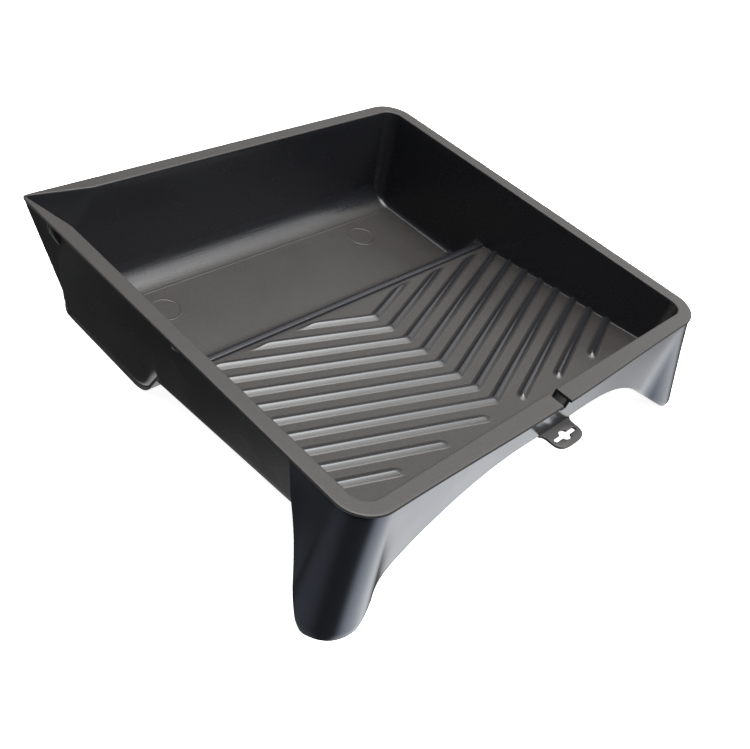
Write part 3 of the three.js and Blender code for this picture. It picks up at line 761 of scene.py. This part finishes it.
# ------------------------------------------------------------------ materials
class Nodes:
    """Small helpers for building the node tree of one plastic material."""

    def __init__(self, name):
        self.mat = bpy.data.materials.new(name)
        self.mat.use_nodes = True
        self.nodes, self.links = self.mat.node_tree.nodes, self.mat.node_tree.links
        self.shader = self.nodes["Principled BSDF"]
        self.where = self.nodes.new("ShaderNodeTexCoord").outputs["Object"]

    def feed(self, socket, value):
        """Sets a socket to a number, or links it to another node's output."""
        if isinstance(value, (int, float)):
            socket.default_value = value
        else:
            self.links.new(value, socket)

    def noise(self, scale, detail=3.0, stretch=(1, 1, 1)):
        """Cloudy noise fixed to the tray."""
        size = self.nodes.new("ShaderNodeMapping")
        size.inputs["Scale"].default_value = stretch
        self.links.new(self.where, size.inputs["Vector"])
        tex = self.nodes.new("ShaderNodeTexNoise")
        tex.inputs["Scale"].default_value = scale
        tex.inputs["Detail"].default_value = detail
        self.links.new(size.outputs["Vector"], tex.inputs["Vector"])
        return tex.outputs["Fac"]

    def fit(self, value, low, high, start=0.35, stop=0.65):
        """Maps start..stop onto low..high."""
        span = self.nodes.new("ShaderNodeMapRange")
        self.feed(span.inputs["Value"], value)
        for name, v in (("From Min", start), ("From Max", stop), ("To Min", low), ("To Max", high)):
            self.feed(span.inputs[name], v)
        return span.outputs["Result"]

    def math(self, kind, a, b):
        node = self.nodes.new("ShaderNodeMath")
        node.operation = kind
        self.feed(node.inputs[0], a)
        self.feed(node.inputs[1], b)
        return node.outputs[0]

    def mix(self, factor, a, b):
        """The number a where factor is 0 and b where it is 1."""
        return self.fit(factor, a, b, 0.0, 1.0)

    def tint(self, factor, a, b):
        """The colour a where factor is 0 and b where it is 1."""
        node = self.nodes.new("ShaderNodeMix")
        node.data_type = "RGBA"
        self.feed(node.inputs["Factor"], factor)
        for name, colour in (("A", a), ("B", b)):
            if isinstance(colour, tuple):
                node.inputs[name].default_value = (*colour, 1)
            else:
                self.links.new(colour, node.inputs[name])
        return node.outputs["Result"]

    def axis(self, name):
        split = self.nodes.new("ShaderNodeSeparateXYZ")
        self.links.new(self.where, split.inputs[0])
        return split.outputs[name]

    def band(self, value, middle, half):
        """1 where value is at middle, fading to 0 at half on either side; all in metres."""
        off = self.math("ABSOLUTE", self.math("SUBTRACT", value, middle), 0.0)
        return self.fit(off, 1.0, 0.0, 0.0002, half)

    def distance(self, x, y):
        """Distance from the upright line through x, y (millimetres), near the well floor."""
        node = self.nodes.new("ShaderNodeVectorMath")
        node.operation = "DISTANCE"
        self.links.new(self.where, node.inputs[0])
        node.inputs[1].default_value = put((x, y, WALL))
        return node.outputs["Value"]

    def faces_front(self):
        """1 on faces that look towards -Y, 0 on the others."""
        split = self.nodes.new("ShaderNodeSeparateXYZ")
        self.links.new(self.nodes.new("ShaderNodeNewGeometry").outputs["Normal"], split.inputs[0])
        return self.fit(split.outputs["Y"], 1.0, 0.0, -0.7, -0.4)

    def attribute(self, name):
        node = self.nodes.new("ShaderNodeAttribute")
        node.attribute_name = name
        return node.outputs["Fac"]

    def bump(self, layers):
        """Layers of (height, strength, distance), each laid over the one before."""
        normal = None
        for height, strength, distance in layers:
            node = self.nodes.new("ShaderNodeBump")
            node.inputs["Distance"].default_value = distance
            self.feed(node.inputs["Strength"], strength)
            self.links.new(height, node.inputs["Height"])
            if normal:
                self.links.new(normal, node.inputs["Normal"])
            normal = node.outputs["Normal"]
        self.links.new(normal, self.shader.inputs["Normal"])


SHINY = (0.0085, 0.0088, 0.0105)
MATT = (0.016, 0.0145, 0.0135)
# painted reflection: a cool blue tint for the skirt's reflections, standing in for bluish light falling
# on it
COOL_REFLECTION_TINT = (0.6, 0.74, 1.0)
EJECTOR_PINS, EJECTOR_R = ((94.0, 95.0), (-91.0, 94.0)), 10.5


def plastic(name, shine, satin=0.48, mask=None, grain=0.12, marks=None, dull=None):
    """Black moulded plastic: smooth and shiny, but grained and satin where the mask is 1."""
    n = Nodes(name)
    matt = mask(n) if mask else 0.0
    cloud = n.noise(26.0, 4.0)
    smooth_rough = n.fit(cloud, shine * 0.9, shine * 1.14)
    rough = n.mix(matt, smooth_rough, n.fit(cloud, satin * 0.94, satin * 1.08))
    if dull:
        rough = n.math("MAXIMUM", rough, dull(n))
    n.feed(n.shader.inputs["Roughness"], rough)
    plain = n.tint(n.noise(9.0, 5.0), SHINY, tuple(c * 1.4 for c in SHINY))
    dusty = n.tint(n.fit(n.noise(900.0, 2.0), 0.0, 1.0), MATT, tuple(c * 1.5 for c in MATT))
    n.links.new(n.tint(matt, plain, dusty), n.shader.inputs["Base Color"])
    scratch = n.math("POWER", n.noise(60.0, 6.0, (1.0, 14.0, 1.0)), 6.0)
    n.bump((marks(n) if marks else []) + [
        (n.noise(1300.0, 2.0), n.mix(matt, 0.015, grain), 0.0004),
        (scratch, 0.05, 0.0006),
        (n.noise(14.0, 2.0), 0.03, 0.002),
    ])
    return n.mat


def rim_mask(n):
    """1 on the rim's flat top, 0 from its rounded edges down."""
    return n.fit(n.axis("Z"), 0.0, 1.0, (HEIGHT - 0.8) / 1000, (HEIGHT - 0.3) / 1000)


def hidden_front(n):
    """The unpolished outside of the front wall, behind the skirt."""
    return n.math("MULTIPLY", n.faces_front(), n.fit(n.axis("Y"), 0.95, 0.0, -0.12, -0.11))


def floor_mask(n):
    """1 on the flat floor of the well, fading out as the sides turn up."""
    return n.fit(n.axis("Z"), 1.0, 0.0, 0.0024, 0.006)


def floor_marks(n):
    """Ejector pin rings, the seam where the floor turns up into the cove, and fine scratches."""
    seam = n.band(n.axis("Y"), (COVE_Y + CENTRE_SHIFT_Y) / 1000, 0.0007)
    layers = [(n.math("MULTIPLY", seam, floor_mask(n)), 0.6, 0.0003)]
    for stretch in ((1.0, 30.0, 1.0), (24.0, 2.0, 1.0)):
        layers.append((n.math("POWER", n.noise(45.0, 8.0, stretch), 5.0), 0.35, 0.0008))
    for x, y in EJECTOR_PINS:
        ring = n.band(n.distance(x, y), EJECTOR_R / 1000, 0.0007)
        layers.append((ring, 0.7, 0.0003))
    return layers


def valley_mask(n):
    """1 on the ramp between the ribs, 0 on the upper half of a rib."""
    return n.fit(n.attribute("rib"), 1.0, 0.0, 0.25, 0.75)


MAT_WALL = plastic("black_plastic_walls", 0.27, mask=rim_mask, dull=hidden_front)
MAT_WELL = plastic("black_plastic_well", 0.28, 0.40, mask=floor_mask, grain=0.12, marks=floor_marks)
MAT_RAMP = plastic("black_plastic_ramp", 0.20, 0.40, mask=valley_mask)
MAT_SKIRT = plastic("black_plastic_skirt", 0.22)
# the skirt's reflections are tinted cool blue: a painted bluish reflection, not a colour of the plastic
MAT_SKIRT.node_tree.nodes["Principled BSDF"].inputs["Specular Tint"].default_value = (*COOL_REFLECTION_TINT, 1)
MAT_TAB = plastic("black_plastic_tab", 0.36, mask=lambda n: 0.85)


def dress(piece, material, *nodes):
    """Gives a piece its material, hangs it under the root body and hides the CAD nodes that it stands
    for.
    """
    piece.data.materials.append(material)
    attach(piece, "root")
    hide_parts(*nodes)


dress(
    make_walls(), MAT_WALL,
    "back_wall", "back_corner_left", "back_corner_right", "left_wall", "right_wall", "front_wall",
    "spout_facet_left", "spout_facet_back", "spout_lip_left", "spout_lip_back",
    "rim_back", "rim_back_right_corner", "rim_right", "rim_front_right_corner", "rim_front_right",
    "rim_front_left", "rim_front_left_corner", "rim_left",
)
dress(make_well(), MAT_WELL, "well_floor", "step_wall")
RIB_NODES = [f"chevron_rib_{i + 1}" for i in range(RIB_COUNT)]
RIB_NODES += [f"short_rib_{side}_{i + 1}" for side in ("left", "right") for i in range(SHORT_COUNT)]
dress(make_ramp(), MAT_RAMP, "ramp_deck", *RIB_NODES)
dress(make_skirt(), MAT_SKIRT, "front_apron", "left_leg", "right_leg")
dress(make_tab(), MAT_TAB, "hang_tab")
dress(
    make_gussets(), MAT_WALL,
    "gusset_left_back", "gusset_left_front", "gusset_right_back", "gusset_right_front",
)


# ------------------------------------------------------------------ camera, light and floor
def look(az, el, roll):
    """Right, up and back axes of a camera at this azimuth, height and roll, in degrees."""
    a, e, r = (math.radians(v) for v in (az, el, roll))
    back = Vector((math.sin(a) * math.cos(e), -math.cos(a) * math.cos(e), math.sin(e)))
    right = Vector((0, 0, 1)).cross(back).normalized()
    up = back.cross(right)
    turned = right * math.cos(r) + up * math.sin(r)
    return turned, up * math.cos(r) - right * math.sin(r), back


CAMERA_AZIMUTH, CAMERA_HEIGHT, CAMERA_ROLL = -55.1774, 40.7412, 16.5014
CAMERA_LENS = 45.51
# from the middle of the rim, in rim widths: back, left and down along the camera's own axes
CAMERA_BACK, CAMERA_LEFT, CAMERA_DOWN = 1.8666, 0.0133, 0.231


def add_camera():
    data = bpy.data.cameras.new("camera")
    data.sensor_width = 36
    data.lens = CAMERA_LENS
    camera = bpy.data.objects.new("camera", data)
    bpy.context.scene.collection.objects.link(camera)
    right, up, back = look(CAMERA_AZIMUTH, CAMERA_HEIGHT, CAMERA_ROLL)
    away = back * CAMERA_BACK - right * CAMERA_LEFT - up * CAMERA_DOWN
    place = put((0, 0, HEIGHT)) + away * (2 * RIM_X / 1000)
    turn = Matrix((right, up, back)).transposed().to_4x4()
    camera.matrix_world = Matrix.Translation(place) @ turn
    bpy.context.scene.camera = camera


def add_floor():
    """A pale floor for the camera only: reflections and shading see the studio instead."""
    bm = bmesh.new()
    bmesh.ops.create_grid(bm, x_segments=1, y_segments=1, size=6)
    mesh = bpy.data.meshes.new("floor")
    bm.to_mesh(mesh)
    bm.free()
    floor = bpy.data.objects.new("floor", mesh)
    bpy.context.scene.collection.objects.link(floor)
    mat = bpy.data.materials.new("pale_floor")
    mat.use_nodes = True
    shader = mat.node_tree.nodes["Principled BSDF"]
    shader.inputs["Base Color"].default_value = (0.93, 0.93, 0.93, 1)
    shader.inputs["Roughness"].default_value = 0.9
    shader.inputs["Specular IOR Level"].default_value = 0.0
    shader.inputs["Emission Color"].default_value = (1, 1, 1, 1)
    shader.inputs["Emission Strength"].default_value = 0.9
    mesh.materials.append(mat)
    floor.visible_glossy = False
    floor.visible_diffuse = False
    floor.visible_shadow = False


# azimuth from +X towards +Y, height above the horizon, breadth (all degrees), strength
GLOWS = (
    (0, 90, 34, 11.0),
    (-50, 62, 34, 4.4),
    (-60, 38, 26, 1.8),
    (35, 38, 34, 1.2),
    (0, 14, 28, 2.1),
    (120, 14, 30, 1.6),
    (-56, -44, 42, 3.0),
    (120, -14, 30, 0.5),
    (180, -42, 34, 0.6),
    (0, -90, 40, 2.0),
)
DIM = 0.05
WHITE = (1, 1, 1, 1)


def add_glow(nodes, links, where, azimuth, height, breadth, strength):
    """One soft glow of the world: full in its own direction, gone at its breadth."""
    a, e = math.radians(azimuth), math.radians(height)
    dot = nodes.new("ShaderNodeVectorMath")
    dot.operation = "DOT_PRODUCT"
    links.new(where, dot.inputs[0])
    dot.inputs[1].default_value = (math.cos(a) * math.cos(e), math.sin(a) * math.cos(e), math.sin(e))
    glow = nodes.new("ShaderNodeMapRange")
    glow.interpolation_type = "SMOOTHERSTEP"
    links.new(dot.outputs["Value"], glow.inputs["Value"])
    glow.inputs["From Min"].default_value = math.cos(math.radians(breadth))
    glow.inputs["From Max"].default_value = 1.0
    glow.inputs["To Max"].default_value = strength
    return glow.outputs["Result"]


def add_world():
    """A dim studio with soft glows for the tray, and plain white behind it for the camera."""
    world = bpy.data.worlds.new("studio")
    world.use_nodes = True
    nodes, links = world.node_tree.nodes, world.node_tree.links
    where = nodes.new("ShaderNodeTexCoord").outputs["Generated"]
    total = None
    for glow in GLOWS:
        add = nodes.new("ShaderNodeMath")
        add.operation = "ADD"
        links.new(add_glow(nodes, links, where, *glow), add.inputs[0])
        if total is None:
            add.inputs[1].default_value = DIM
        else:
            links.new(total, add.inputs[1])
        total = add.outputs[0]
    studio = nodes["Background"]
    studio.inputs["Color"].default_value = WHITE
    links.new(total, studio.inputs["Strength"])
    plain = nodes.new("ShaderNodeBackground")
    plain.inputs["Color"].default_value = WHITE
    either = nodes.new("ShaderNodeMixShader")
    links.new(nodes.new("ShaderNodeLightPath").outputs["Is Camera Ray"], either.inputs[0])
    links.new(studio.outputs[0], either.inputs[1])
    links.new(plain.outputs[0], either.inputs[2])
    links.new(either.outputs[0], nodes["World Output"].inputs["Surface"])
    bpy.context.scene.world = world


def add_softbox():
    """A large, weak lamp overhead."""
    data = bpy.data.lights.new("softbox", "AREA")
    data.size = 1.5
    data.energy = 6.0
    light = bpy.data.objects.new("softbox", data)
    bpy.context.scene.collection.objects.link(light)
    light.location = (0, 0, 2.2)


add_camera()
add_floor()
add_world()
add_softbox()
bpy.context.scene.view_settings.view_transform = "Standard"
